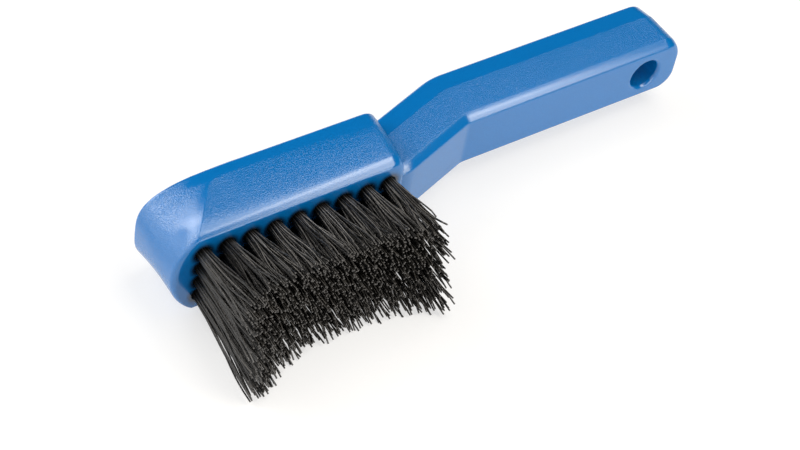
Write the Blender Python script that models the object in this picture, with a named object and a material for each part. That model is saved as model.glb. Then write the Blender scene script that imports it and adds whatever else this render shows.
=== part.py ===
"""Bicycle cleaning brush: one moulded plastic body with a broad tufted head, an offset neck and a
straight handle with a hanging hole, and 36 filament tufts that are each folded round a flat wire
anchor at the bottom of a blind hole.

The brush lies on the flat side of its head. X runs from the nose to the end of the handle, the
bristles point along -Y, and Z is up across the width. Lengths are in metres.
"""

import math

import bmesh
import bpy
import numpy as np
from mathutils import Vector

MM = 0.001

# Body, along X from the nose and along Y from the tufted face (called depth)
overall_length = 230.0 * MM
head_length = 92.5 * MM           # at the tufted face
rear_lean_share = 0.15            # how far the head's rear wall leans back with depth
head_width = 39.5 * MM
head_depth = 28.0 * MM
head_side_depth = 19.0 * MM       # from the tufted face to the parting line
handle_width = 24.2 * MM
handle_depth = 26.5 * MM
handle_side_depth = 17.0 * MM     # from the underside to the parting line
handle_offset = 12.0 * MM         # the handle's underside stands this far behind the tufted face
neck_start = 89.5 * MM            # inside the head, where the neck begins to rise
knee_position = 129.0 * MM        # where the neck meets the straight handle
neck_root = 14.0 * MM             # how far the neck's root runs forward inside the head
underside_edge_radius = 2.6 * MM
back_edge_radius = 1.6 * MM
back_draft_angle = math.radians(10.0)
rear_corner_radius = 5.5 * MM     # head, seen from the tufted face
end_corner_radius = 7.0 * MM      # handle's end, seen from the underside
crisp_bend = 1.2 * MM             # half length of a bend on the underside
soft_bend = 5.0 * MM              # half length of the same bend on the back

# Nose: a bow in plan that meets the flat sides at an edge, and grows fuller towards the back
nose_side_start = 8.8 * MM        # where that edge stands at the tufted face
nose_side_lean_share = 0.70       # how fast it moves back with depth
nose_side_sweep = 4.5 * MM        # what the sweep adds to it at the back
nose_bow_share = 0.76             # roundness of the bow at the tufted face, 1 for no edge at all
nose_power_low = 2.0              # 2 makes the bow a circle or an ellipse
nose_power_high = 3.6             # and more makes it squarer, at the back

# Hanging hole
hang_hole_diameter = 11.4 * MM
hang_hole_from_end = 16.0 * MM
hang_hole_rim_radius = 1.5 * MM

# Tufts
columns = 9
rows = 4
first_column = 11.0 * MM
column_pitch = 9.35 * MM
row_pitch = 6.7 * MM
tuft_hole_diameter = 5.3 * MM
tuft_hole_depth = 14.0 * MM
fit_clearance = 0.3 * MM
strands_per_tuft = 10
strand_gap = 0.16 * MM            # inset of each strand from its sector of the plug
trim_arc_radius = 88.0 * MM       # the cut that hollows the bristles lengthwise
trim_low_position = 54.0 * MM
trim_low_length = 30.0 * MM
row_fan_share = 0.40              # how much further apart the rows stand at the tips
column_fan_share = 0.05           # the same for the columns
tuft_fan_share = 1.80             # the same for the strands of one tuft
strand_thickness = 1.1 * MM       # across the corners, where it leaves the root
tip_share = 0.80                  # a strand's thickness at its tip
strand_steps = 2

# Wire anchors
anchor_height = 2.0 * MM
anchor_thickness = 0.5 * MM
anchor_bite = 0.7 * MM            # how far each end runs into the wall of the hole

# Counts that set smoothness
bow_points = 11                   # on each half of the nose
corner_points = 5
bend_points = 4
hole_sides = 12
hang_hole_sides = 32

half_length = overall_length / 2
mid_height = head_width / 2
root_radius = tuft_hole_diameter / 2 - fit_clearance
strand_circle = root_radius * math.cos(math.pi / strands_per_tuft) * 2 / 3
last_column = first_column + (columns - 1) * column_pitch


def strand_length(from_low):
    """The length of a strand rooted at a distance along the head from the low point of the cut."""
    reach = from_low * (1 + column_fan_share)
    return trim_low_length + trim_arc_radius - math.sqrt(trim_arc_radius**2 - reach**2)


longest_strand = strand_length(
    strand_circle + max(trim_low_position - first_column, last_column - trim_low_position)
)
depth_middle = (longest_strand - handle_offset - handle_depth) / 2


def place(along, depth, across):
    """A point from the nose, from the tufted face towards the back, and across from the middle."""
    return Vector((along - half_length, depth + depth_middle, across + mid_height))


def clear_scene():
    for item in list(bpy.data.objects):
        bpy.data.objects.remove(item)
    for item in list(bpy.data.collections):
        bpy.data.collections.remove(item)


def new_collection(name, hidden=False):
    made = bpy.data.collections.new(name)
    bpy.context.scene.collection.children.link(made)
    made.hide_render = hidden
    return made


def new_material(name, colour, roughness, metallic=0.0):
    made = bpy.data.materials.new(name)
    made.use_nodes = True
    shader = made.node_tree.nodes["Principled BSDF"]
    shader.inputs["Base Color"].default_value = (*colour, 1.0)
    shader.inputs["Roughness"].default_value = roughness
    shader.inputs["Metallic"].default_value = metallic
    return made


def object_from(bm, name, collection, material=None, sharp_from=35.0):
    """The mesh as an object, with its faces turned outwards and smooth up to an angle."""
    bmesh.ops.recalc_face_normals(bm, faces=bm.faces)
    mesh = bpy.data.meshes.new(name)
    bm.to_mesh(mesh)
    bm.free()
    mesh.shade_smooth()
    mesh.set_sharp_from_angle(angle=math.radians(sharp_from))
    made = bpy.data.objects.new(name, mesh)
    collection.objects.link(made)
    if material:
        mesh.materials.append(material)
    else:
        made.hide_render = True
        made.display_type = "WIRE"
    return made


def boolean(target, other, operation, name):
    added = target.modifiers.new(name, "BOOLEAN")
    added.object = other
    added.operation = operation
    added.solver = "EXACT"


def loft(rings, name, collection, material=None):
    """A closed skin through rings of equal point count. Each cap is laid in strips from side to
    side, so it also follows a ring that bends."""
    bm = bmesh.new()
    rows_of = [[bm.verts.new(p) for p in ring] for ring in rings]
    count = len(rings[0])
    for low, high in zip(rows_of, rows_of[1:]):
        for i in range(count):
            j = (i + 1) % count
            bm.faces.new((low[i], low[j], high[j], high[i]))
    for cap in (rows_of[0][::-1], rows_of[-1]):
        for i in range(count // 2 - 1):
            strip = (cap[i], cap[i + 1], cap[count - 2 - i], cap[count - 1 - i])
            bm.faces.new(strip)
    return object_from(bm, name, collection, material)


def quarter(steps):
    return [math.pi / 2 * i / steps for i in range(steps + 1)]


def side_inset(depth, side_depth, full_depth):
    """How far the skin stands in from the parting line's width at a depth."""
    if depth < underside_edge_radius:
        rise = 1 - depth / underside_edge_radius
        return underside_edge_radius * (1 - math.sqrt(max(0.0, 1 - rise**2)))
    inset = max(0.0, depth - side_depth) * math.tan(back_draft_angle)
    into = (depth - (full_depth - back_edge_radius)) / back_edge_radius
    if into > 0:
        inset += back_edge_radius * (1 - math.sqrt(max(0.0, 1 - min(into, 1.0) ** 2)))
    return inset


def depth_levels(side_depth, full_depth, between):
    """The depths of the rings: fine on both edge radii, plain between them."""
    levels = [underside_edge_radius * (1 - math.cos(a)) for a in quarter(4)]
    levels += list(np.linspace(underside_edge_radius, side_depth, between + 2))[1:]
    levels += list(np.linspace(side_depth, full_depth - back_edge_radius, between + 2))[1:-1]
    levels += [full_depth - back_edge_radius * (1 - math.sin(a)) for a in quarter(3)]
    return levels


def head_ring(depth):
    """The head's outline at one depth: the bow of the nose, two sides and two rear corners."""
    inset = side_inset(depth, head_side_depth, head_depth)
    half = head_width / 2 - inset
    share = depth / head_depth
    corner = nose_side_start + nose_side_lean_share * depth + nose_side_sweep * share**3
    widest = math.asin(math.sqrt(nose_bow_share + (1 - nose_bow_share) * share))
    power = 2 / (nose_power_low + (nose_power_high - nose_power_low) * share)
    side = []
    for i in range(bow_points):
        angle = widest * (i + 0.5) / (bow_points - 0.5)
        back = (1 - math.cos(angle) ** power) / (1 - math.cos(widest) ** power)
        out = (math.sin(angle) / math.sin(widest)) ** power
        side.append((inset + (corner - inset) * back, half * out))
    rear = head_length + rear_lean_share * depth - inset
    for angle in quarter(corner_points):
        along = rear - rear_corner_radius * (1 - math.sin(angle))
        side.append((along, half - rear_corner_radius * (1 - math.cos(angle))))
    ring = side + [(along, -across) for along, across in reversed(side)]
    return [place(along, depth, across) for along, across in ring]


def neck_path(bend):
    """Stations along the neck, each with its shift towards the back: flat, rising, then flat."""
    rise = handle_offset / (knee_position - neck_start)
    stations = [(neck_start - neck_root, 0.0)]
    for start, before, after in ((neck_start, 0.0, rise), (knee_position, rise, 0.0)):
        height = 0.0 if start == neck_start else handle_offset
        for t in np.linspace(0, 1, bend_points + 1):
            # A bend is a parabola that leaves one line and joins the other.
            along = start + bend * (2 * t - 1)
            shift = height - before * bend * (1 - t) ** 2 + after * bend * t**2
            stations.append((along, shift))
    return stations


def handle_ring(depth):
    """The outline of neck and handle at one depth, following the neck's rise."""
    inset = side_inset(depth, handle_side_depth, handle_depth)
    half = handle_width / 2 - inset
    bend = crisp_bend + (soft_bend - crisp_bend) * depth / handle_depth
    side = [(along, shift, half) for along, shift in neck_path(bend)]
    radius = end_corner_radius
    for angle in quarter(corner_points + 1):
        along = overall_length - inset - radius * (1 - math.sin(angle))
        side.append((along, handle_offset, half - radius * (1 - math.cos(angle))))
    other = [(along, shift, -across) for along, shift, across in reversed(side)]
    return [place(along, depth + shift, across) for along, shift, across in side + other]


def tuft_place(column, row):
    """A tuft's hole: its distance from the nose and its place across."""
    return first_column + column * column_pitch, (row - (rows - 1) / 2) * row_pitch


def all_tufts():
    return [(column, row) for column in range(columns) for row in range(rows)]


def hole_cutters(collection):
    """The blind holes, and across the bottom of each a slot for the anchor's ends."""
    holes, slots = bmesh.new(), bmesh.new()
    above = fit_clearance * 4
    for column, row in all_tufts():
        along, across = tuft_place(column, row)
        ring = []
        for depth in (-above, tuft_hole_depth):
            ring.append([
                holes.verts.new(place(
                    along + tuft_hole_diameter / 2 * math.cos(2 * math.pi * i / hole_sides),
                    depth,
                    across + tuft_hole_diameter / 2 * math.sin(2 * math.pi * i / hole_sides),
                ))
                for i in range(hole_sides)
            ])
        for i in range(hole_sides):
            j = (i + 1) % hole_sides
            holes.faces.new((ring[0][i], ring[0][j], ring[1][j], ring[1][i]))
        holes.faces.new(ring[0][::-1])
        holes.faces.new(ring[1])
        made = bmesh.ops.create_cube(slots, size=1.0)["verts"]
        size = Vector((
            tuft_hole_diameter + 2 * anchor_bite,
            anchor_height + 2 * fit_clearance,
            anchor_thickness + 2 * fit_clearance,
        ))
        middle = place(along, tuft_hole_depth - size.y / 2 - fit_clearance, across)
        for vert in made:
            vert.co = Vector(a * b for a, b in zip(vert.co, size)) + middle
    return (
        object_from(holes, "tuft_hole_cutter", collection),
        object_from(slots, "anchor_slot_cutter", collection),
    )


def hang_hole_cutter(collection):
    """A pin through the handle that flares with the rim's radius at both faces."""
    radius, flare = hang_hole_diameter / 2, hang_hole_rim_radius
    front, back = handle_offset, handle_offset + handle_depth
    profile = [(radius + 2 * flare, front - flare)]
    profile += [(radius + flare * (1 - math.sin(a)), front + flare * (1 - math.cos(a)))
                for a in quarter(4)]
    profile += [(radius + flare * (1 - math.sin(a)), back - flare * (1 - math.cos(a)))
                for a in reversed(quarter(4))]
    profile += [(radius + 2 * flare, back + flare)]
    bm = bmesh.new()
    rings = []
    for reach, depth in profile:
        rings.append([
            bm.verts.new(place(
                overall_length - hang_hole_from_end
                + reach * math.cos(2 * math.pi * i / hang_hole_sides),
                depth,
                reach * math.sin(2 * math.pi * i / hang_hole_sides),
            ))
            for i in range(hang_hole_sides)
        ])
    for low, high in zip(rings, rings[1:]):
        for i in range(hang_hole_sides):
            j = (i + 1) % hang_hole_sides
            bm.faces.new((low[i], low[j], high[j], high[i]))
    bm.faces.new(rings[0][::-1])
    bm.faces.new(rings[-1])
    return object_from(bm, "hang_hole_cutter", collection)


def make_body(collection, helpers, material):
    """Head and handle as two lofts joined into one moulding, then every hole cut in it."""
    head = [head_ring(depth) for depth in depth_levels(head_side_depth, head_depth, 3)]
    body = loft(head, "handle_body", collection, material)
    levels = depth_levels(handle_side_depth, handle_depth, 1)
    neck = loft([handle_ring(depth) for depth in levels], "neck_and_handle", helpers)
    boolean(body, neck, "UNION", "join neck and handle")
    holes, slots = hole_cutters(helpers)
    boolean(body, holes, "DIFFERENCE", "tuft holes")
    boolean(body, slots, "DIFFERENCE", "anchor slots")
    boolean(body, hang_hole_cutter(helpers), "DIFFERENCE", "hanging hole")
    return body


def fanned(along, across, centre, share):
    """Where a strand rooted in a tuft at centre stands at a share of its length."""
    field = centre[0] - trim_low_position
    spread = 1 + tuft_fan_share * share
    return (
        trim_low_position + field * (1 + column_fan_share * share) + (along - centre[0]) * spread,
        centre[1] * (1 + row_fan_share * share) + (across - centre[1]) * spread,
    )


def make_tuft(column, row, collection, material):
    """The packed root with its anchor's two ends, and the strands that fan out of its top."""
    along, across = tuft_place(column, row)
    radius = root_radius
    bottom = tuft_hole_depth - fit_clearance
    sides = strands_per_tuft
    bm = bmesh.new()
    fold = radius / 2
    anchor_low, anchor_high = bottom - fit_clearance, bottom - 3 * fit_clearance - anchor_height
    # Rings from the folded bottom, past the anchor, to the mouth of the hole.
    profile = [(radius - fold / 2, bottom), (radius, anchor_low),
               (radius, anchor_high), (radius, 0.0)]
    rings = []
    for reach, depth in profile:
        rings.append([
            bm.verts.new(place(
                along + reach * math.cos(2 * math.pi * (i + 0.5) / sides),
                depth,
                across + reach * math.sin(2 * math.pi * (i + 0.5) / sides),
            ))
            for i in range(sides)
        ])
    for low, high in zip(rings, rings[1:]):
        for i in range(sides):
            j = (i + 1) % sides
            bm.faces.new((low[i], low[j], high[j], high[i]))
    bm.faces.new(rings[0][::-1])
    # The anchor's ends stand out of the two opposite walls that face along the head.
    bm.normal_update()
    middle = place(along, (rings[1][0].co.y + rings[2][0].co.y) / 2 - depth_middle, across)
    for i in (sides - 1, sides // 2 - 1):
        corners = {rings[1][i], rings[1][(i + 1) % sides], rings[2][i], rings[2][(i + 1) % sides]}
        wall = next(face for face in bm.faces if corners == set(face.verts))
        bmesh.ops.inset_individual(bm, faces=[wall], thickness=anchor_thickness / 4)
        base = list(wall.verts)
        end = bmesh.ops.extrude_discrete_faces(bm, faces=[wall])["faces"][0]
        side = math.copysign(1.0, end.calc_center_median().x - middle.x)
        for verts, reach in ((base, 0.0), (list(end.verts), anchor_bite)):
            for vert in verts:
                vert.co.x += side * reach
                vert.co.y = middle.y + math.copysign(anchor_height / 2, vert.co.y - middle.y)
                vert.co.z = middle.z + math.copysign(anchor_thickness / 2, vert.co.z - middle.z)
    # The top of the root is split into one sector a strand.
    centre = bm.verts.new(place(along, 0.0, across))
    sectors = []
    for i in range(sides):
        j = (i + 1) % sides
        sectors.append(bm.faces.new((centre, rings[-1][j], rings[-1][i])))
    bm.normal_update()
    bmesh.ops.inset_individual(bm, faces=sectors, thickness=strand_gap)
    ends = bmesh.ops.extrude_discrete_faces(bm, faces=sectors)["faces"]
    for i, face in enumerate(ends):
        angle = 2 * math.pi * (i + 1) / sides
        root = (along + strand_circle * math.cos(angle), across + strand_circle * math.sin(angle))
        length = strand_length(root[0] - trim_low_position)
        middle = face.calc_center_median()
        outward = {vert: (vert.co - middle).normalized() for vert in face.verts}
        for step in range(strand_steps):
            share = (step + 1) / strand_steps
            if step:
                before = list(face.verts)
                face = bmesh.ops.extrude_discrete_faces(bm, faces=[face])["faces"][0]
                outward = {new: outward[old] for new, old in zip(face.verts, before)}
            spine_along, spine_across = fanned(*root, (along, across), share)
            spine = place(spine_along, -length * share, spine_across)
            reach = strand_thickness / 2 * (1 - (1 - tip_share) * share)
            for vert in face.verts:
                vert.co = spine + outward[vert] * reach
    name = f"tuft_c{column + 1}_r{row + 1}"
    return object_from(bm, name, collection, material)


def main():
    clear_scene()
    brush = new_collection("bicycle_cleaning_brush")
    helpers = new_collection("cutters", hidden=True)
    plastic = new_material("blue_moulded_plastic", (0.01, 0.13, 0.45), 0.38)
    filament = new_material("black_filament", (0.012, 0.012, 0.013), 0.45)
    make_body(brush, helpers, plastic)
    for column, row in all_tufts():
        make_tuft(column, row, brush, filament)


main()
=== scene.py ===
# %% [markdown]
# # A bicycle cleaning brush
#
# The real brush has one moulded plastic body and 36 tufts of stiff black filament. Each tuft is
# folded round a flat wire anchor and driven into a blind hole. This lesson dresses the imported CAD
# part: the frame gives the brush's length, width and place, and the pieces made here its looks.

import math
from functools import partial

import bmesh
import bpy
import numpy as np
from mathutils import Matrix, Vector


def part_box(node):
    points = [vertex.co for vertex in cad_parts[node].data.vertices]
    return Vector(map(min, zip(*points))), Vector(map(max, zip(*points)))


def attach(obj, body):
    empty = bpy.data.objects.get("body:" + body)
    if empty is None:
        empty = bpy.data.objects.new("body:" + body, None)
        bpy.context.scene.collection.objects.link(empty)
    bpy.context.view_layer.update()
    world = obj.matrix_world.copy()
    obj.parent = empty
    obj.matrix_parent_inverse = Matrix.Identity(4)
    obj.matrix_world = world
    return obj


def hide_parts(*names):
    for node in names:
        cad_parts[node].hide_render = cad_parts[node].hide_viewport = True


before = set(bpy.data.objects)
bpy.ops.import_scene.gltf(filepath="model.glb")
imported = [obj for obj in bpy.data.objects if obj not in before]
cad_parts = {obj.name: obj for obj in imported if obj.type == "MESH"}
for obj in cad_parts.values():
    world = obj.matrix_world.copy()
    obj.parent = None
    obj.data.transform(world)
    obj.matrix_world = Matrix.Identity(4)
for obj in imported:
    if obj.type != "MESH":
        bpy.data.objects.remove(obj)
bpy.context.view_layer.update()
MM = 0.001

body_low, body_high = (Vector(corner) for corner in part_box("handle_body"))
print("body", [round(side / MM, 2) for side in body_high - body_low], "mm")

# %% [markdown]
# ## The camera
#
# The photograph looks down at the brush, which lies on its side, from the nose end. A camera is
# easy to read as a place, a point that it looks at and a roll about that line, so these three and
# the lens are all that is written here.

# %% Camera
camera_place = Vector((-380.96, -400.96, 570.16)) * MM
camera_target = Vector((-30.22, -8.95, 19.75)) * MM
camera_roll = math.radians(11.39)
camera_lens = 97.8
sensor_width = 36.0
nearest_seen = 10 * MM

camera = bpy.data.objects.new("camera", bpy.data.cameras.new("camera"))
camera.data.lens = camera_lens
camera.data.sensor_width = sensor_width
camera.data.clip_start = nearest_seen
turn = (camera_target - camera_place).to_track_quat("-Z", "Y").to_matrix().to_4x4()
camera.matrix_world = Matrix.Translation(camera_place) @ turn @ Matrix.Rotation(camera_roll, 4, "Z")
bpy.context.scene.collection.objects.link(camera)
bpy.context.scene.camera = camera
print("camera", round((camera_target - camera_place).length / MM), "mm from what it looks at")

# %% [markdown]
# ## Small helpers
#
# A node tree is a list of nodes with values on their sockets and links between them. One helper
# makes a node from plain words, so that each material and each Geometry Nodes tree below reads
# from top to bottom. A value that is a socket is linked, and any other is written on the input.
# Most inputs go by name. A few nodes have one socket of the same name for each kind of value, and
# those go by number.

# %% Node helpers
MIX_SHARE, MIX_FIRST, MIX_SECOND, MIX_RESULT = 0, 6, 7, 2


def add_node(tree, kind, inputs=None, **settings):
    """A node with its settings, and its inputs given by name or by number."""
    made = tree.nodes.new(kind)
    for name, value in settings.items():
        setattr(made, name, value)
    for key, value in (inputs or {}).items():
        if isinstance(value, bpy.types.NodeSocket):
            tree.links.new(value, made.inputs[key])
        else:
            made.inputs[key].default_value = value
    return made


def calc(tree, operation, *values):
    """A Math node's result."""
    return add_node(tree, "ShaderNodeMath", dict(enumerate(values)), operation=operation).outputs[0]


def blend_colour(tree, share, first, second):
    """One colour mixed into another by a share."""
    inputs = {MIX_SHARE: share, MIX_FIRST: first, MIX_SECOND: second}
    return add_node(tree, "ShaderNodeMix", inputs, data_type="RGBA").outputs[MIX_RESULT]


def map_range(tree, value, low, high, to_low=0.0, to_high=1.0, smooth=True):
    """A value carried from one range to another, and held at both ends."""
    inputs = {
        "Value": value, "From Min": low, "From Max": high, "To Min": to_low, "To Max": to_high,
    }
    kind = "SMOOTHSTEP" if smooth else "LINEAR"
    return add_node(tree, "ShaderNodeMapRange", inputs, interpolation_type=kind).outputs["Result"]


def noise(tree, vector, scale, detail=2.0, roughness=0.5):
    """A noise that fills space, from 0 to 1."""
    inputs = {"Vector": vector, "Scale": scale, "Detail": detail, "Roughness": roughness}
    return add_node(tree, "ShaderNodeTexNoise", inputs).outputs["Fac"]


def place_in_object(tree):
    """Where a point of the surface is, in its own object, so that a pattern stays on the piece."""
    return add_node(tree, "ShaderNodeTexCoord").outputs["Object"]


def facing_parts(tree):
    """The way that a surface faces, as its X, Y and Z."""
    normal = add_node(tree, "ShaderNodeNewGeometry").outputs["Normal"]
    return add_node(tree, "ShaderNodeSeparateXYZ", {"Vector": normal}).outputs


def new_material(name):
    """A material with only its output and Principled BSDF, its tree and that shader."""
    made = bpy.data.materials.new(name)
    made.use_nodes = True
    return made, made.node_tree, made.node_tree.nodes["Principled BSDF"]


# %% [markdown]
# ## Floor and light
#
# Such a picture is taken on a white table between large soft boxes. The floor is a plain pale
# grey to the object. Only the camera and mirrors see it as white, mixed from a plain glow and a
# lit white floor, so that the brush keeps its shadow there.

# %% Floor
floor_size = 4.0
floor_grey = 0.86
floor_white = (1.060, 1.040, 1.010)
shadow_share = 0.40

floor_mesh = bpy.data.meshes.new("floor")
reach = floor_size / 2
corners = [(-reach, -reach, 0), (reach, -reach, 0), (reach, reach, 0), (-reach, reach, 0)]
floor_mesh.from_pydata(corners, [], [(0, 1, 2, 3)])
floor = bpy.data.objects.new("floor", floor_mesh)
bpy.context.scene.collection.objects.link(floor)


def mix_shaders(tree, share, first, second):
    inputs = {0: share, 1: first.outputs[0], 2: second.outputs[0]}
    return add_node(tree, "ShaderNodeMixShader", inputs)


material, tree, shader = new_material("pale_floor")
path = add_node(tree, "ShaderNodeLightPath").outputs
seen = calc(tree, "MAXIMUM", path["Is Camera Ray"], path["Is Glossy Ray"])
seen = calc(tree, "MAXIMUM", seen, path["Is Transmission Ray"])
plain = add_node(tree, "ShaderNodeBsdfDiffuse", {"Color": (*[floor_grey] * 3, 1)})
lit = add_node(tree, "ShaderNodeBsdfDiffuse", {"Color": (*floor_white, 1)})
glow = add_node(tree, "ShaderNodeEmission", {"Color": (1, 1, 1, 1), "Strength": 1.0})
white = mix_shaders(tree, shadow_share, glow, lit)
finish = mix_shaders(tree, seen, plain, white)
tree.nodes.remove(shader)
tree.links.new(finish.outputs[0], tree.nodes["Material Output"].inputs["Surface"])
floor_mesh.materials.append(material)
print("floor", floor_size, "m square")

# %% [markdown]
# ## Lamps and the room
#
# Glossy plastic shows its lamps more than its colour, so each lamp is placed by what mirrors it.
# The flat side catches the edge of a dim panel overhead, the slanted strip along the tufts mirrors
# a bright, slightly warm box, and the nose mirrors three panels. Two cards in front light the
# tufts. The sloping back mirrors the dark end of the room, so it shows the plain blue.


# %% Lamps and the room
def soft_box(name, place, width, length, power, target=(0, 0, 0), along=(0, 0, 1), tint=(1, 1, 1)):
    """A rectangular area lamp that faces a point, its long side turned along a direction."""
    lamp = bpy.data.lights.new(name, "AREA")
    lamp.shape = "RECTANGLE"
    lamp.size, lamp.size_y, lamp.energy, lamp.color = width, length, power, tint
    made = bpy.data.objects.new(name, lamp)
    back = (Vector(place) - Vector(target)).normalized()
    side = Vector(along).cross(back).normalized()
    facing = Matrix((side, back.cross(side), back)).transposed().to_4x4()
    made.matrix_world = Matrix.Translation(place) @ facing
    bpy.context.scene.collection.objects.link(made)


soft_box(
    "panel_overhead", place=(0.36, 0.03, 1.00), width=0.72, length=0.98, power=6.3,
    target=(0.36, 0.03, 0), along=(0, 1, 0),
)
soft_box(
    "box_at_the_front", place=(0.515, -0.58, 0.725), width=0.37, length=0.86, power=4.7,
    along=(0, 0.73, 0.68), tint=(1, 0.93, 0.80),
)
soft_box("panel_behind_the_nose", place=(-0.30, 0.95, 0.32), width=0.55, length=0.40, power=2.4)
soft_box("box_at_the_nose", place=(-0.48, 0.58, 0.65), width=0.80, length=0.66, power=4.9)
soft_box("panel_at_the_nose", place=(-0.88, 0.42, 0.28), width=1.00, length=0.70, power=4.0)
soft_box("card_beside_the_camera", place=(-0.90, -0.60, 0.45), width=1.20, length=0.80, power=3.6)
soft_box("low_card_in_front", place=(0.08, -1.10, 0.22), width=1.10, length=0.40, power=5.7)

room_grey = 0.02
world = bpy.data.worlds.new("room")
world.use_nodes = True
world.node_tree.nodes["Background"].inputs["Color"].default_value = (*[room_grey] * 3, 1)
bpy.context.scene.world = world
bpy.context.scene.view_settings.view_transform = "Standard"

# %% [markdown]
# ## The moulding's sizes
#
# The body is injection moulded in one piece. These are the sizes of the mould, in millimetres
# along the brush from the nose, and in depth from the face that holds the tufts. The frame gives
# the rest: its length, its width and where the tufted face lies. A size with several values has
# one for the nose, one for the head's rear and, where there is a third, one for the handle.

# %% Sizes
AT_NOSE, AT_REAR, ON_HANDLE = 0, 1, 2

overall_length = body_high.x - body_low.x
head_width = body_high.z - body_low.z
mid_height = (body_high.z + body_low.z) / 2
nose_place = body_low.x
face_place = body_low.y

head_length = 92.5 * MM
head_depth = 27.3 * MM
rear_lean = 0.15
rear_corner = 5.5 * MM

handle_width = 24.8 * MM
handle_depth = 26.3 * MM
handle_offset = 12.0 * MM
end_corner = 7.0 * MM

neck_start = 96.0 * MM
knee = 129.0 * MM
neck_root = 14.0 * MM
neck_lift = 0.9 * MM
root_bend = 2.6 * MM
crisp_bend, soft_bend = 1.2 * MM, 5.0 * MM

hole_diameter = 12.6 * MM
hole_from_end = 16.0 * MM
hole_rim = 1.6 * MM


def place(along, depth, across):
    """A point of the moulding in the frame's own axes."""
    return (nose_place + along, face_place + depth, mid_height + across)


print("head", head_length / MM, "mm long; the neck bends at", neck_start / MM, "and", knee / MM)

# %% [markdown]
# ## The body's skin
#
# A head with a bow for a nose and a handle with a bend in it are both stacks of outlines, one
# above the other from the tufted face to the back. They could be boxes with bevelled edges, but
# these edges change along their way. So each outline is worked out from its depth, by how far the
# skin comes in there, and the stack is lofted. The numbers are finer than in the solid: the long
# edge by the tufts is a slanted strip, soft at the nose and crisp from the head's rear to the
# handle's end, and on the handle a thin raised line marks where the two mould halves met.

# %% Edges and slopes
head_side_depth = (21.5 * MM, 18.5 * MM)
handle_side_depth = 17.0 * MM
back_draft = math.radians(10.0)
head_draft_bend = (1.0 * MM, 7.0 * MM)
draft_bend = 0.8 * MM

slant_inset = (2.9 * MM, 2.3 * MM, 2.0 * MM)
slant_rise = (7.4 * MM, 3.9 * MM, 3.6 * MM)
slant_power = (1.8, 1.2, 1.25)
foot_edge = (0.2 * MM, 0.8 * MM, 0.5 * MM)

nose_edge, nose_back_edge = 2.0 * MM, 1.5 * MM
end_edge, back_edge = 1.8 * MM, 1.6 * MM
head_crown, handle_crown, crown_power = 0.6 * MM, 0.3 * MM, 3
seam_height, seam_half = 0.05 * MM, 0.18 * MM
to_rear_power = 0.7


def round_over(share, power=2.0):
    """A round edge's drop, from 0 to 1. A power below 2 flattens the round into a slanted strip."""
    share = min(max(share, 0.0), 1.0)
    return 1 - (1 - share**power) ** (1 / power)


def edge_inset(depth, full_depth, edge, back=back_edge):
    """How far the rounded edges of an end bring the skin in."""
    return edge * round_over(1 - depth / edge) + back * round_over(1 - (full_depth - depth) / back)


def draft_inset(depth, side_depth, bend):
    """The back part slopes in from the parting line, with a soft start."""
    past = depth - side_depth
    if abs(past) < bend:
        past = (past + bend) ** 2 / (4 * bend)
    return max(0.0, past) * math.tan(back_draft)


def side_inset(depth, side_depth, bend, full_depth, crown, kind):
    """A long side: a slanted strip at the tufts, a slight crown, then the slope to the back."""
    strip = slant_inset[kind] * round_over(1 - depth / slant_rise[kind], slant_power[kind])
    strip += edge_inset(depth, full_depth, foot_edge[kind])
    swell = crown * max(0.0, 1 - depth / side_depth) ** crown_power
    return strip + swell + draft_inset(depth, side_depth, bend)


def head_inset(depth, share):
    """The head's side, round at the nose and crisp at the rear, blended by a share of the way."""
    nose, rear = (
        side_inset(depth, head_side_depth[kind], head_draft_bend[kind], head_depth, head_crown, kind)
        for kind in (AT_NOSE, AT_REAR)
    )
    return nose + (rear - nose) * share**to_rear_power


def handle_inset(depth):
    """The handle's side, with a thin raised line where the two mould halves met."""
    inset = side_inset(depth, handle_side_depth, draft_bend, handle_depth, handle_crown, ON_HANDLE)
    proud = max(0.0, 1 - abs(depth - handle_side_depth) / seam_half)
    return inset + seam_height * (1 - proud)


for share, label in ((0.0, "nose"), (1.0, "rear")):
    print("the tufted face is", round(head_inset(0.0, share) / MM, 2), "mm in at the", label)

# %% Depths of the outlines
strip_steps = 14
side_steps = 14
back_steps = 8
back_edge_steps = 12
parting_shares = (-0.5, 0.0, 0.5, 1.0)


def quarter(steps):
    """The angles of a quarter turn."""
    return [math.pi / 2 * i / steps for i in range(steps + 1)]


def levels(side_depth, full_depth, back):
    """The depths of the outlines: fine on the edges and about the parting line."""
    rise, power = slant_rise[ON_HANDLE], slant_power[ON_HANDLE]
    found = [rise * (1 - math.cos(angle) ** (2 / power)) for angle in quarter(strip_steps)]
    found += list(np.linspace(rise, side_depth - draft_bend, side_steps + 1))[1:]
    found += [side_depth + draft_bend * share for share in parting_shares]
    found += [side_depth - seam_half, side_depth + seam_half]
    found += list(np.linspace(side_depth + draft_bend, full_depth - back, back_steps + 1))[1:-1]
    found += [full_depth - back * (1 - math.sin(angle)) for angle in quarter(back_edge_steps)]
    return sorted(found)


head_levels = levels(head_side_depth[AT_REAR], head_depth, nose_back_edge)
handle_levels = levels(handle_side_depth, handle_depth, back_edge)
print(len(head_levels), "outlines in the head,", len(handle_levels), "in the handle")

# %% Outlines of the head
side_start, side_lean = 8.6 * MM, 0.78
side_sweep, sweep_power = -1.0 * MM, 8

# The bow at the tufts and at the back, and the crease also at the parting line between them.
bow_share, bow_power, blunt_power = (0.76, 0.985), (2.0, 3.3), 2.3
crease_round = (0.2 * MM, 0.5 * MM, 8.0 * MM)
bow_points, dense_points = 30, 400
crease_steps, side_parts, rear_corner_steps = 8, 16, 9


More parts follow.
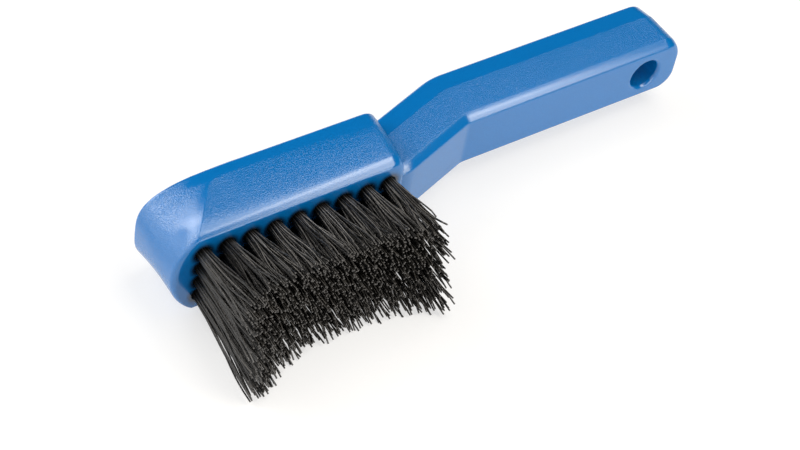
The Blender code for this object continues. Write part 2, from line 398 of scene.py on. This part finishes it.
def bow(depth, count):
    """Half of the nose's outline: from the middle to the edge where the flat side starts."""
    share = depth / head_depth
    inset = edge_inset(depth, head_depth, nose_edge, nose_back_edge)
    half = head_width / 2 - head_inset(depth, 0.0)
    corner = side_start + side_lean * depth + side_sweep * share**sweep_power
    blunt = share**blunt_power
    widest = math.asin(math.sqrt(bow_share[0] + (bow_share[1] - bow_share[0]) * blunt))
    power = 2 / (bow_power[0] + (bow_power[1] - bow_power[0]) * blunt)
    points = []
    for i in range(count):
        angle = widest * (i + 0.5) / (count - 0.5)
        back = (1 - math.cos(angle) ** power) / (1 - math.cos(widest) ** power)
        out = (math.sin(angle) / math.sin(widest)) ** power
        points.append(Vector((inset + (corner - inset) * back, half * out)))
    return points


def crease_radius(depth):
    """The edge between nose and side: crisp at the tufts, and gone at the back."""
    low, middle, high = crease_round
    parting = head_side_depth[AT_REAR]
    if depth < parting:
        return low + (middle - low) * depth / parting
    return middle + (high - middle) * (depth - parting) / (head_depth - parting)


def head_ring(depth):
    """The whole outline at a depth, its edge at the nose rounded by a short curve."""
    dense = bow(depth, dense_points)
    corner, radius = dense[-1], crease_radius(depth)
    near = next(i for i, point in enumerate(dense) if (point - corner).length < radius)
    side = [dense[round(i * near / (bow_points - 1))] for i in range(bow_points)]
    start, end = side[-1], corner + Vector((radius, 0))
    for i in range(1, crease_steps + 1):
        t = i / crease_steps
        side.append(start * (1 - t) ** 2 + corner * 2 * t * (1 - t) + end * t**2)
    rear = head_length + rear_lean * depth - edge_inset(depth, head_depth, end_edge)
    straight = rear - rear_corner
    for i in range(1, side_parts):
        half = head_width / 2 - head_inset(depth, i / side_parts)
        side.append(Vector((end.x + (straight - end.x) * i / side_parts, half)))
    half = head_width / 2 - head_inset(depth, 1.0)
    for angle in quarter(rear_corner_steps):
        along = rear - rear_corner * (1 - math.sin(angle))
        side.append(Vector((along, half - rear_corner * (1 - math.cos(angle)))))
    ring = side + [Vector((point.x, -point.y)) for point in reversed(side)]
    return [place(point.x, depth, point.y) for point in ring]


print(len(head_ring(0.0)), "points in an outline of the head")

# %% Outlines of the neck and handle
bend_points = 13
end_corner_steps = 14


def neck_path(bend):
    """Stations along the neck, each with its shift towards the back: flat, rising, then flat."""
    rise = (handle_offset - neck_lift) / (knee - neck_start)
    stations = [(neck_start - neck_root, neck_lift)]
    root = (neck_start, neck_lift, 0.0, rise, root_bend)
    for start, height, before, after, half in (root, (knee, handle_offset, rise, 0.0, bend)):
        for t in np.linspace(0, 1, bend_points):
            shift = height - before * half * (1 - t) ** 2 + after * half * t**2
            stations.append((start + half * (2 * t - 1), shift))
    return stations


def handle_ring(depth):
    """The outline of neck and handle at a depth, its knee crisp at the tufts and soft behind."""
    half = handle_width / 2 - handle_inset(depth)
    bend = crisp_bend + (soft_bend - crisp_bend) * depth / handle_depth
    side = [(along, shift, half) for along, shift in neck_path(bend)]
    end = overall_length - edge_inset(depth, handle_depth, end_edge)
    for angle in quarter(end_corner_steps):
        along = end - end_corner * (1 - math.sin(angle))
        side.append((along, handle_offset, half - end_corner * (1 - math.cos(angle))))
    other = [(along, shift, -across) for along, shift, across in reversed(side)]
    return [place(along, depth + shift, across) for along, shift, across in side + other]


print(len(handle_ring(0.0)), "points in an outline of the handle")

# %% [markdown]
# ## Loft, join and cut
#
# A mould is cut from one block, so head and neck run into each other without a seam. Here both are
# lofted as closed skins of their own, and an exact Boolean joins them: it keeps the flat sides
# flat, where remeshing would round every edge.


# %% Skins
def add_skin(bm, rings):
    """Faces between rings of equal length, one above the other. The rings' corners come back."""
    rows = [[bm.verts.new(point) for point in ring] for ring in rings]
    for low, high in zip(rows, rows[1:]):
        for i in range(len(low)):
            j = (i + 1) % len(low)
            bm.faces.new((low[i], low[j], high[j], high[i]))
    return rows


def mesh_object(name, bm):
    bmesh.ops.recalc_face_normals(bm, faces=bm.faces)
    mesh = bpy.data.meshes.new(name)
    bm.to_mesh(mesh)
    bm.free()
    made = bpy.data.objects.new(name, mesh)
    bpy.context.scene.collection.objects.link(made)
    return made


def loft(name, rings):
    """A closed skin through rings of equal length, with caps in strips from side to side."""
    bm = bmesh.new()
    rows = add_skin(bm, rings)
    count = len(rings[0])
    for cap in (rows[0][::-1], rows[-1]):
        for i in range(count // 2 - 1):
            bm.faces.new((cap[i], cap[i + 1], cap[count - 2 - i], cap[count - 1 - i]))
    return mesh_object(name, bm)


body = loft("moulded_body", [head_ring(depth) for depth in head_levels])
neck = loft("neck", [handle_ring(depth) for depth in handle_levels])
print("head", len(body.data.polygons), "faces; neck and handle", len(neck.data.polygons))


# %% Modifiers
def join_or_cut(target, other, operation):
    step = target.modifiers.new(other.name, "BOOLEAN")
    step.object, step.operation, step.solver = other, operation, "EXACT"


def settle(piece, drop=()):
    """The evaluated piece as plain mesh, with its modifiers and its helpers gone."""
    bpy.context.view_layer.update()
    graph = bpy.context.evaluated_depsgraph_get()
    mesh = bpy.data.meshes.new_from_object(piece.evaluated_get(graph))
    piece.modifiers.clear()
    piece.data = mesh
    mesh.name = piece.name
    for helper in drop:
        bpy.data.objects.remove(helper)


# %% [markdown]
# ## The hanging hole
#
# A hook goes through the end of the handle. The hole's rims are rounded, so the cutter is a pin
# that flares at both faces: a profile spun about its own axis.

# %% Hanging hole
hole_sides = 72
rim_steps = 8


def flared_pin():
    """A pin through the handle's end, wider at both faces by the rounding of the rim."""
    radius = hole_diameter / 2
    front, back = handle_offset, handle_offset + handle_depth
    wide = radius + 2 * hole_rim
    flare = [
        (radius + hole_rim * (1 - math.sin(angle)), hole_rim * (1 - math.cos(angle)))
        for angle in quarter(rim_steps)
    ]
    profile = [(wide, front - hole_rim)]
    profile += [(reach, front + rise) for reach, rise in flare]
    profile += [(reach, back - rise) for reach, rise in reversed(flare)]
    profile += [(wide, back + hole_rim)]
    centre = overall_length - hole_from_end
    turns = [2 * math.pi * i / hole_sides for i in range(hole_sides)]
    bm = bmesh.new()
    rows = add_skin(bm, [
        [place(centre + reach * math.cos(a), depth, reach * math.sin(a)) for a in turns]
        for reach, depth in profile
    ])
    bm.faces.new(rows[0][::-1])
    bm.faces.new(rows[-1])
    return mesh_object("hanging_hole_cutter", bm)


pin = flared_pin()
print("hanging hole", hole_diameter / MM, "mm across,", len(pin.data.polygons), "faces in its cutter")

# %% [markdown]
# ## Tuft holes and anchors
#
# The holes stand on a grid of nine columns and four rows, and so do the flat wires at their
# bottoms. One Geometry Nodes tree places both: it works out each point of the grid from its index
# and puts a small shape there. The same shape is repeated, so instances cost nothing until they
# are made real at the end.

# %% Sizes of the grid
columns, rows = 9, 4
first_column, column_pitch, row_pitch = 11.0 * MM, 9.35 * MM, 6.7 * MM
tuft_hole_diameter, tuft_hole_depth = 5.9 * MM, 14.0 * MM
tuft_hole_sides = 40
anchor_length, anchor_height, anchor_thickness = 6.1 * MM, 2.0 * MM, 0.5 * MM
sharp_on_cutters = 40.0


# %% Helpers for trees
def tree_with_inputs(name, sizes):
    """An empty Geometry Nodes tree whose inputs are named, with their values as defaults."""
    tree = bpy.data.node_groups.new(name, "GeometryNodeTree")
    tree.interface.new_socket("Geometry", in_out="OUTPUT", socket_type="NodeSocketGeometry")
    for label, value in sizes.items():
        kind = {float: "NodeSocketFloat", int: "NodeSocketInt"}.get(type(value), "NodeSocketMaterial")
        socket = tree.interface.new_socket(label, in_out="INPUT", socket_type=kind)
        if value is not None:
            socket.default_value = value
    return tree, add_node(tree, "NodeGroupInput").outputs


def end_tree(tree, geometry, material_socket):
    """Instances made real, and the material set, because an export drops instances."""
    real = add_node(tree, "GeometryNodeRealizeInstances", {"Geometry": geometry}).outputs[0]
    inputs = {"Geometry": real, "Material": material_socket}
    finished = add_node(tree, "GeometryNodeSetMaterial", inputs).outputs[0]
    add_node(tree, "NodeGroupOutput", {"Geometry": finished})


def run_tree(name, tree, values, sharp_from=sharp_on_cutters):
    """A piece made by the tree with these input values, as plain mesh."""
    piece = bpy.data.objects.new(name, bpy.data.meshes.new(name))
    bpy.context.scene.collection.objects.link(piece)
    step = piece.modifiers.new("build", "NODES")
    step.node_group = tree
    for item in tree.interface.items_tree:
        if item.in_out == "INPUT" and item.name in values:
            step[item.identifier] = values[item.name]
    settle(piece)
    piece.data.shade_smooth()
    piece.data.set_sharp_from_angle(angle=math.radians(sharp_from))
    print(name, len(piece.data.polygons), "faces")
    return piece


def whole_and_rest(tree, value, by):
    """Whole division in nodes: how many times, and what is left over."""
    whole = calc(tree, "FLOOR", calc(tree, "DIVIDE", value, by))
    return whole, calc(tree, "SUBTRACT", value, calc(tree, "MULTIPLY", whole, by))


def points_at(tree, count, along, depth, across):
    """Points on the moulding, each placed by sockets that give its way along, in and across."""
    spot = add_node(tree, "ShaderNodeCombineXYZ", {
        "X": calc(tree, "ADD", along, nose_place),
        "Y": calc(tree, "ADD", depth, face_place),
        "Z": calc(tree, "ADD", across, mid_height),
    }).outputs[0]
    return add_node(tree, "GeometryNodePoints", {"Count": count, "Position": spot}).outputs[0]


# %% Grid tree
def grid_tree(name, shape):
    """Puts a shape at every tuft's place. The shape is a function that adds its own nodes."""
    sizes = {
        "Columns": columns, "Rows": rows, "First column": first_column,
        "Column pitch": column_pitch, "Row pitch": row_pitch, "Depth": 0.0,
        "Length": 0.0, "Height": 0.0, "Thickness": 0.0, "Material": None,
    }
    tree, given = tree_with_inputs(name, sizes)
    m = partial(calc, tree)
    index = add_node(tree, "GeometryNodeInputIndex").outputs[0]
    column, row = whole_and_rest(tree, index, given["Rows"])
    along = m("MULTIPLY_ADD", column, given["Column pitch"], given["First column"])
    middle = m("MULTIPLY", m("SUBTRACT", given["Rows"], 1.0), 0.5)
    across = m("MULTIPLY", m("SUBTRACT", row, middle), given["Row pitch"])
    total = m("MULTIPLY", given["Columns"], given["Rows"])
    points = points_at(tree, total, along, given["Depth"], across)
    inputs = {"Points": points, "Instance": shape(tree, given)}
    placed = add_node(tree, "GeometryNodeInstanceOnPoints", inputs).outputs[0]
    end_tree(tree, placed, given["Material"])
    return tree


def round_hole(tree, given):
    """A pin along the depth, as long as Length and with Thickness for its radius."""
    inputs = {"Vertices": tuft_hole_sides, "Radius": given["Thickness"], "Depth": given["Length"]}
    made = add_node(tree, "GeometryNodeMeshCylinder", inputs).outputs["Mesh"]
    inputs = {"Geometry": made, "Rotation": (math.pi / 2, 0, 0)}
    return add_node(tree, "GeometryNodeTransform", inputs).outputs[0]


def flat_wire(tree, given):
    """A short piece of flat wire that lies along the brush."""
    sides = {"X": given["Length"], "Y": given["Height"], "Z": given["Thickness"]}
    size = add_node(tree, "ShaderNodeCombineXYZ", sides).outputs[0]
    return add_node(tree, "GeometryNodeMeshCube", {"Size": size}).outputs["Mesh"]


# %% Cutters for the tufts
cut_above = 1.0 * MM
slot_clear = 0.3 * MM
wire_depth = tuft_hole_depth - 2 * slot_clear - anchor_height / 2

holes = run_tree("tuft_hole_cutter", grid_tree("hole grid", round_hole), {
    "Depth": (tuft_hole_depth - cut_above) / 2,
    "Length": tuft_hole_depth + cut_above,
    "Thickness": tuft_hole_diameter / 2,
})
slots = run_tree("anchor_slot_cutter", grid_tree("slot grid", flat_wire), {
    "Depth": wire_depth,
    "Length": anchor_length + 2 * slot_clear,
    "Height": anchor_height + 2 * slot_clear,
    "Thickness": anchor_thickness + 2 * slot_clear,
})

# %% Cut the body
sharp_on_body = 32.0

join_or_cut(body, neck, "UNION")
for cutter in (holes, slots, pin):
    join_or_cut(body, cutter, "DIFFERENCE")
settle(body, drop=(neck, holes, slots, pin))
body.data.shade_smooth()
body.data.set_sharp_from_angle(angle=math.radians(sharp_on_body))
even = body.modifiers.new("even shading", "WEIGHTED_NORMAL")
even.keep_sharp = True
settle(body)
body.data.materials.clear()
print("moulded body", len(body.data.polygons), "faces")

# %% [markdown]
# ## Blue moulded plastic
#
# The colour runs through the plastic, so no wear shows another one. What the eye reads is the
# finish: the mould was eroded to a fine grain, so the flat sides sparkle a little, while the
# slanted strip, the sloping back and the nose are smoother. Bump and gloss from one fine noise
# give the grain, and a slow noise keeps the shine from being too even. The tufted face is painted
# darker towards each hole: painted shade where the tufts keep the light off, and a painted
# reflection of the black tufts in the gloss. A Bevel node softens the corners where the neck meets
# the head. A range is written as: from, to, and what it gives at either end.

# %% Plastic: where the grain is
plastic_blue = (0.0006, 0.138, 0.412, 1)
plastic_blue_lit = (0.0012, 0.156, 0.452, 1)
plastic_blue_dull = (0.001, 0.134, 0.402, 1)
grain_scale, cloud_scale = 2400.0, 60.0
grain_depth = 0.17 * MM
lit_grains = (0.3, 0.7)
dull_clouds = (0.35, 0.7, 0.0, 0.3)
grain_towards_tufts = (-0.50, -0.08, 0.12, 1.0)
grain_towards_back = (0.04, 0.15, 1.0, 0.25)
grain_towards_nose = (-0.9, -0.2, 0.6, 1.0)

plastic, tree, shader = new_material("blue_moulded_plastic")
spot = place_in_object(tree)
facing = facing_parts(tree)
eroded = map_range(tree, facing["Y"], *grain_towards_tufts)
eroded = calc(tree, "MULTIPLY", eroded, map_range(tree, facing["Y"], *grain_towards_back))
eroded = calc(tree, "MULTIPLY", eroded, map_range(tree, facing["X"], *grain_towards_nose))
grain = noise(tree, spot, grain_scale, detail=1.0)
cloud = noise(tree, spot, cloud_scale, detail=3.0)
lit = map_range(tree, grain, *lit_grains)
colour = blend_colour(tree, lit, plastic_blue, plastic_blue_lit)
dull = map_range(tree, cloud, *dull_clouds)
colour = blend_colour(tree, dull, colour, plastic_blue_dull)

# %% Plastic: painted shade round the tufts
# Painted shade and a painted reflection: the tufted face is coloured darker near each hole.
tuft_shade_dark = (0.004, 0.010, 0.020, 1)
tuft_shade_share, tuft_shade_reach = 0.97, 2.6 * MM
on_tufted_face = (-0.9, -0.7, 1.0, 0.0)


def squared_gap(tree, way, first, pitch, count):
    """The square of how far a point is from the nearest column or row of holes."""
    number = calc(tree, "DIVIDE", calc(tree, "SUBTRACT", way, first), pitch)
    nearest = calc(tree, "MAXIMUM", calc(tree, "ROUND", number), 0.0)
    nearest = calc(tree, "MINIMUM", nearest, count - 1.0)
    gap = calc(tree, "MULTIPLY", calc(tree, "SUBTRACT", number, nearest), pitch)
    return calc(tree, "MULTIPLY", gap, gap)


within = add_node(tree, "ShaderNodeSeparateXYZ", {"Vector": spot}).outputs
first_row_height = mid_height - (rows - 1) / 2 * row_pitch
from_hole = calc(tree, "SQRT", calc(
    tree, "ADD",
    squared_gap(tree, within["X"], nose_place + first_column, column_pitch, columns),
    squared_gap(tree, within["Z"], first_row_height, row_pitch, rows),
))
rim = tuft_hole_diameter / 2
# Painted shade: darkest at a hole's rim, and gone a reach beyond it.
tuft_shade = map_range(tree, from_hole, rim, rim + tuft_shade_reach, tuft_shade_share, 0.0)
tuft_shade = calc(tree, "MULTIPLY", tuft_shade, map_range(tree, facing["Y"], *on_tufted_face))
colour = blend_colour(tree, tuft_shade, colour, tuft_shade_dark)

# %% Plastic: shine
plain_shine = 0.9
sparkle_range = (0.32, 0.68, -0.45, 0.45)
roughness_range = (0.3, 0.7, 0.13, 0.17)
corner_radius, corner_samples = 0.4 * MM, 4

sparkle = map_range(tree, grain, *sparkle_range)
sparkle = calc(tree, "MULTIPLY_ADD", sparkle, eroded, plain_shine)
tree.links.new(sparkle, shader.inputs["Specular IOR Level"])
tree.links.new(colour, shader.inputs["Base Color"])
uneven = map_range(tree, cloud, *roughness_range, smooth=False)
tree.links.new(uneven, shader.inputs["Roughness"])
softened = add_node(tree, "ShaderNodeBevel", {"Radius": corner_radius}, samples=corner_samples)
bump = add_node(tree, "ShaderNodeBump", {
    "Strength": eroded, "Distance": grain_depth, "Height": grain, "Normal": softened.outputs[0],
})
tree.links.new(bump.outputs[0], shader.inputs["Normal"])
body.data.materials.append(plastic)
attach(body, "root")
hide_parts("handle_body")
print("plastic", len(tree.nodes), "nodes")

# %% [markdown]
# ## Filaments
#
# A tuft is some forty-five drawn nylon filaments. They leave the hole as a tight bundle, open like
# a fan, wander a little, and are cut to a hollow curve after the brush is filled. One Geometry
# Nodes tree draws a whole row: it makes the points of every filament from an index, groups them
# into curves, and sweeps a small circle along each. Hair curves could do this too, but a swept
# mesh looks the same in an export. All chance comes from numbered seeds, so every run is alike.

# %% Filament sizes
filaments = 45
filament_points = 11
filament_radius = 0.32 * MM
filament_sides = 6
bundle_radius = 2.5 * MM
root_gap = 1.0 * MM
golden_angle = math.pi * (3 - math.sqrt(5))
tuft_turn = 1.7

# The filaments are shortest at one place along the brush, and longer to both sides of it.
cut_low, cut_reach = 52.0 * MM, 43.0 * MM
cut_length, cut_rise, cut_power = 29.9 * MM, 11.2 * MM, 3.0
cut_tilt, cut_twist = 0.14, 24.0
uneven_cut, short_cut, short_power = 0.5 * MM, 3.5 * MM, 6.0

# How much rows, columns and tufts open, and how far a filament strays.
row_fan, column_fan, tuft_fan, tip_lean = 0.40, -0.02, 1.25, -1.0 * MM
stray, wander = 0.9 * MM, 1.6 * MM
early_opening, late_opening = 0.85, 0.15
wave_turns = (2.5, 6.5)

# No filament leaves the box of the solids.
tuft_boxes = [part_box(name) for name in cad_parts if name.startswith("tuft_")]
longest = face_place - min(low[1] for low, high in tuft_boxes)
widest = head_width / 2 - filament_radius
tip_margin = 0.6 * filament_radius
print("longest filament", round(longest / MM, 1), "mm")

# %% Chance
RANDOM_LOW, RANDOM_HIGH, RANDOM_RESULT = 2, 3, 1
seeds_per_row = 20.0
draws = (
    "stray along", "second stray along", "stray across", "second stray across",
    "uneven cut", "short cut",
    "turns along", "sway along", "start along",
    "turns across", "sway across", "start across",
    "shade",
)


def chance(tree, given, strand, draw, low=-1.0, high=1.0):
    """A number for each filament, the same on every run: one seed for each row and draw."""
    number = draws.index(draw) + 1.0
    seed = calc(tree, "MULTIPLY_ADD", given["Seed"], seeds_per_row, number)
    inputs = {RANDOM_LOW: low, RANDOM_HIGH: high, "ID": strand, "Seed": seed}
    made = add_node(tree, "FunctionNodeRandomValue", inputs, data_type="FLOAT")
    return made.outputs[RANDOM_RESULT]


# %% Root, tip and length of a filament
def root_point(tree, given, tuft, turn):
    """A sunflower pattern in the bundle, turned by another amount in each tuft."""
    m = partial(calc, tree)
    ring = m("SQRT", m("DIVIDE", m("ADD", turn, 0.5), given["Filaments"]))
    out = m("MULTIPLY", ring, given["Bundle radius"])
    angle = m("ADD", m("MULTIPLY", turn, golden_angle), m("MULTIPLY", tuft, tuft_turn))
    return m("MULTIPLY", out, m("COSINE", angle)), m("MULTIPLY", out, m("SINE", angle))


def tip_point(tree, given, pick, centre, root_along, root_across):
    """Rows, columns and tufts all open, and each filament strays a little."""
    m = partial(calc, tree)
    spread = m("ADD", given["Tuft fan"], 1.0)
    field = m("SUBTRACT", centre, given["Cut low"])
    along = m("MULTIPLY_ADD", field, m("ADD", given["Column fan"], 1.0), given["Cut low"])
    along = m("ADD", along, m("MULTIPLY", root_along, spread))
    strays = m("ADD", pick("stray along"), pick("second stray along"))
    along = m("ADD", m("ADD", along, m("MULTIPLY", strays, given["Stray"])), given["Lean"])
    across = m("MULTIPLY", given["Row across"], m("ADD", given["Row fan"], 1.0))
    across = m("ADD", across, m("MULTIPLY", root_across, spread))
    strays = m("ADD", pick("stray across"), pick("second stray across"))
    return along, m("ADD", across, m("MULTIPLY", strays, given["Stray"]))


def cut_to_length(tree, given, pick, tip_along, tip_across):
    """The hollow cut, a little unevenness, and now and then a short one."""
    m = partial(calc, tree)
    off = m("ABSOLUTE", m("SUBTRACT", tip_along, given["Cut low"]))
    share = m("POWER", m("DIVIDE", off, given["Cut reach"]), given["Cut power"])
    twist = m("SUBTRACT", 1.0, m("MULTIPLY", tip_across, given["Cut twist"]))
    rise = m("MULTIPLY", m("MULTIPLY", given["Cut rise"], share), twist)
    tilt = m("MULTIPLY", tip_across, given["Cut tilt"])
    length = m("SUBTRACT", m("ADD", given["Cut length"], rise), tilt)
    length = m("ADD", length, m("MULTIPLY", pick("uneven cut"), uneven_cut))
    seldom = m("POWER", pick("short cut", 0.0), short_power)
    length = m("SUBTRACT", length, m("MULTIPLY", seldom, short_cut))
    return m("MINIMUM", length, given["Longest"])


# %% Sweep
def finish_row(tree, given, strand, points, notes):
    """The points noted with what the finish reads, joined into curves and swept with a circle."""
    for label, value in notes.items():
        inputs = {"Geometry": points, "Name": label, "Value": value}
        points = add_node(
            tree, "GeometryNodeStoreNamedAttribute", inputs, data_type="FLOAT", domain="POINT"
        ).outputs[0]
    inputs = {"Points": points, "Curve Group ID": strand}
    curves = add_node(tree, "GeometryNodePointsToCurves", inputs).outputs[0]
    inputs = {"Resolution": filament_sides, "Radius": given["Filament radius"]}
    profile = add_node(tree, "GeometryNodeCurvePrimitiveCircle", inputs).outputs[0]
    inputs = {"Curve": curves, "Profile Curve": profile, "Fill Caps": True}
    swept = add_node(tree, "GeometryNodeCurveToMesh", inputs).outputs[0]
    end_tree(tree, swept, given["Material"])


# %% Filament tree
def filament_tree():
    """A whole row of tufts, drawn straight out of the holes and then opening."""
    sizes = {
        "Row across": 0.0, "Seed": 1, "Filaments": filaments, "Points": filament_points,
        "First column": first_column, "Column pitch": column_pitch,
        "Bundle radius": bundle_radius, "Hole depth": tuft_hole_depth - root_gap,
        "Cut low": cut_low, "Cut reach": cut_reach, "Cut length": cut_length,
        "Cut rise": cut_rise, "Cut power": cut_power,
        "Row fan": row_fan, "Column fan": column_fan, "Tuft fan": tuft_fan,
        "Cut tilt": cut_tilt, "Cut twist": cut_twist, "Lean": tip_lean,
        "Longest": longest - tip_margin, "Widest": widest, "Stray": stray, "Wander": wander,
        "Filament radius": filament_radius, "Material": None,
    }
    tree, given = tree_with_inputs("filament row", sizes)
    m = partial(calc, tree)
    index = add_node(tree, "GeometryNodeInputIndex").outputs[0]
    strand, step = whole_and_rest(tree, index, given["Points"])
    tuft, turn = whole_and_rest(tree, strand, given["Filaments"])
    pick = partial(chance, tree, given, strand)

    centre = m("MULTIPLY_ADD", tuft, given["Column pitch"], given["First column"])
    root_along, root_across = root_point(tree, given, tuft, turn)
    tip_along, tip_across = tip_point(tree, given, pick, centre, root_along, root_across)
    length = cut_to_length(tree, given, pick, tip_along, tip_across)

    # The first point is inside the hole, and t runs from 0 at the next one to 1 at the tip.
    t = m("DIVIDE", m("SUBTRACT", step, 1.0), m("SUBTRACT", given["Points"], 2.0))
    t = m("MAXIMUM", t, 0.0)
    inside = m("LESS_THAN", step, 0.5)
    open_up = m("MULTIPLY", t, m("MULTIPLY_ADD", t, late_opening, early_opening))

    def wave(way):
        """A slow wave that grows towards the tip."""
        turns = m("MULTIPLY", t, pick(f"turns {way}", *wave_turns))
        size = m("MULTIPLY", m("MULTIPLY", t, pick(f"sway {way}")), given["Wander"])
        start = pick(f"start {way}", 0.0, 2 * math.pi)
        return m("MULTIPLY", m("SINE", m("ADD", turns, start)), size)

    along = m("ADD", centre, root_along)
    along = m("MULTIPLY_ADD", m("SUBTRACT", tip_along, along), open_up, along)
    along = m("ADD", along, wave("along"))
    across = m("ADD", given["Row across"], root_across)
    across = m("MULTIPLY_ADD", m("SUBTRACT", tip_across, across), open_up, across)
    across = m("ADD", across, wave("across"))
    across = m("MAXIMUM", m("MINIMUM", across, given["Widest"]), m("MULTIPLY", given["Widest"], -1.0))
    depth = m("SUBTRACT", m("MULTIPLY", inside, given["Hole depth"]), m("MULTIPLY", length, t))
    total = m("MULTIPLY", m("MULTIPLY", given["Filaments"], float(columns)), given["Points"])
    points = points_at(tree, total, along, depth, across)
    finish_row(tree, given, strand, points, {"strand_shade": pick("shade", 0.0), "strand_place": t})
    return tree


# %% [markdown]
# ## Filament finish
#
# Each filament is grey on its upper side and black at its root and its lower side, which is what
# lets the eye tell one filament from the next: the grey on top is painted light, the black at the
# root and below is painted shade, and dust in spots adds to the grey. Filaments also turn darker
# towards the tip. The tree wrote two numbers on each point, how far it is along its filament and a
# shade of its own, and the material reads both: a filament turns grey by its shade, and its cut end
# is paler than its side.

# %% Filament finish
filament_black = (0.0045, 0.004, 0.0035, 1)
# The grey is dust, and on each filament's upper side also painted light.
dust_and_top_light_grey = (0.255, 0.240, 0.222, 1)
end_grey, end_share, end_from = (0.080, 0.074, 0.068, 1), 0.8, 0.985
dust_scale, spot_range, dust_in_spots = 900.0, (0.35, 0.75), 0.25
dust_on_strand, strand_power = 0.75, 1.5
# Painted shade at each root and on each lower side; painted light on each upper side.
root_shade_fade = (0.0, 0.15, 0.15, 1.0)
# Filaments turn darker towards the tip.
darker_to_tip = (0.6, 0.95, 1.0, 0.7)
light_on_top, lean_to_handle = (0.70, 1.0, 0.03, 1.0), 0.10
filament_roughness = (0.3, 0.7, 0.30, 0.40)
filament_shine = (0.0, 0.12, 0.10, 0.55)

filament, tree, shader = new_material("black_filament")
shade = add_node(tree, "ShaderNodeAttribute", attribute_name="strand_shade").outputs["Fac"]
ended = add_node(tree, "ShaderNodeAttribute", attribute_name="strand_place").outputs["Fac"]
dust = noise(tree, place_in_object(tree), dust_scale, detail=2.0)
spots = calc(tree, "MULTIPLY", map_range(tree, dust, *spot_range), dust_in_spots)
own = calc(tree, "MULTIPLY", calc(tree, "POWER", shade, strand_power), dust_on_strand)
facing = facing_parts(tree)
upward = calc(tree, "MULTIPLY_ADD", facing["X"], lean_to_handle, facing["Z"])
share = calc(tree, "ADD", spots, own)
# The grey fades out at the root and on the lower side as painted shade, and stays on top as painted
# light.
for value, fade in ((ended, root_shade_fade), (ended, darker_to_tip), (upward, light_on_top)):
    share = calc(tree, "MULTIPLY", share, map_range(tree, value, *fade))
colour = blend_colour(tree, share, filament_black, dust_and_top_light_grey)
cut_end = calc(tree, "MULTIPLY", map_range(tree, ended, end_from, 1.0), end_share)
colour = blend_colour(tree, cut_end, colour, end_grey)
roughness = map_range(tree, dust, *filament_roughness, smooth=False)
tree.links.new(colour, shader.inputs["Base Color"])
tree.links.new(roughness, shader.inputs["Roughness"])
tree.links.new(map_range(tree, ended, *filament_shine), shader.inputs["Specular IOR Level"])
print("filament finish", len(tree.nodes), "nodes")

# %% Fill the rows
sharp_on_filaments = 50.0

row_tree = filament_tree()
for row in range(rows):
    across = (row - (rows - 1) / 2) * row_pitch
    values = {"Row across": across, "Seed": row + 1, "Material": filament}
    strands = run_tree(f"filaments_row_{row + 1}", row_tree, values, sharp_on_filaments)
    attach(strands, "root")
    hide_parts(*[f"tuft_c{column + 1}_r{row + 1}" for column in range(columns)])

# %% [markdown]
# ## Wire anchors
#
# Each tuft is held by a short flat wire that bites into the walls of its hole. None of it shows
# from outside, but it is a piece of the real brush, so the same grid places it.

# %% Anchors
steel_dark, steel_pale = (0.50, 0.49, 0.47, 1), (0.62, 0.61, 0.58, 1)
drawn_scale = 1500.0
steel_roughness = (0.3, 0.7, 0.28, 0.42)

steel, tree, shader = new_material("bright_wire")
drawn = noise(tree, place_in_object(tree), drawn_scale, detail=2.0)
colour = blend_colour(tree, drawn, steel_dark, steel_pale)
tree.links.new(colour, shader.inputs["Base Color"])
shader.inputs["Metallic"].default_value = 1.0
tree.links.new(map_range(tree, drawn, *steel_roughness), shader.inputs["Roughness"])
anchors = run_tree("wire_anchors", grid_tree("anchor grid", flat_wire), {
    "Depth": wire_depth, "Length": anchor_length, "Height": anchor_height,
    "Thickness": anchor_thickness, "Material": steel,
})
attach(anchors, "root")
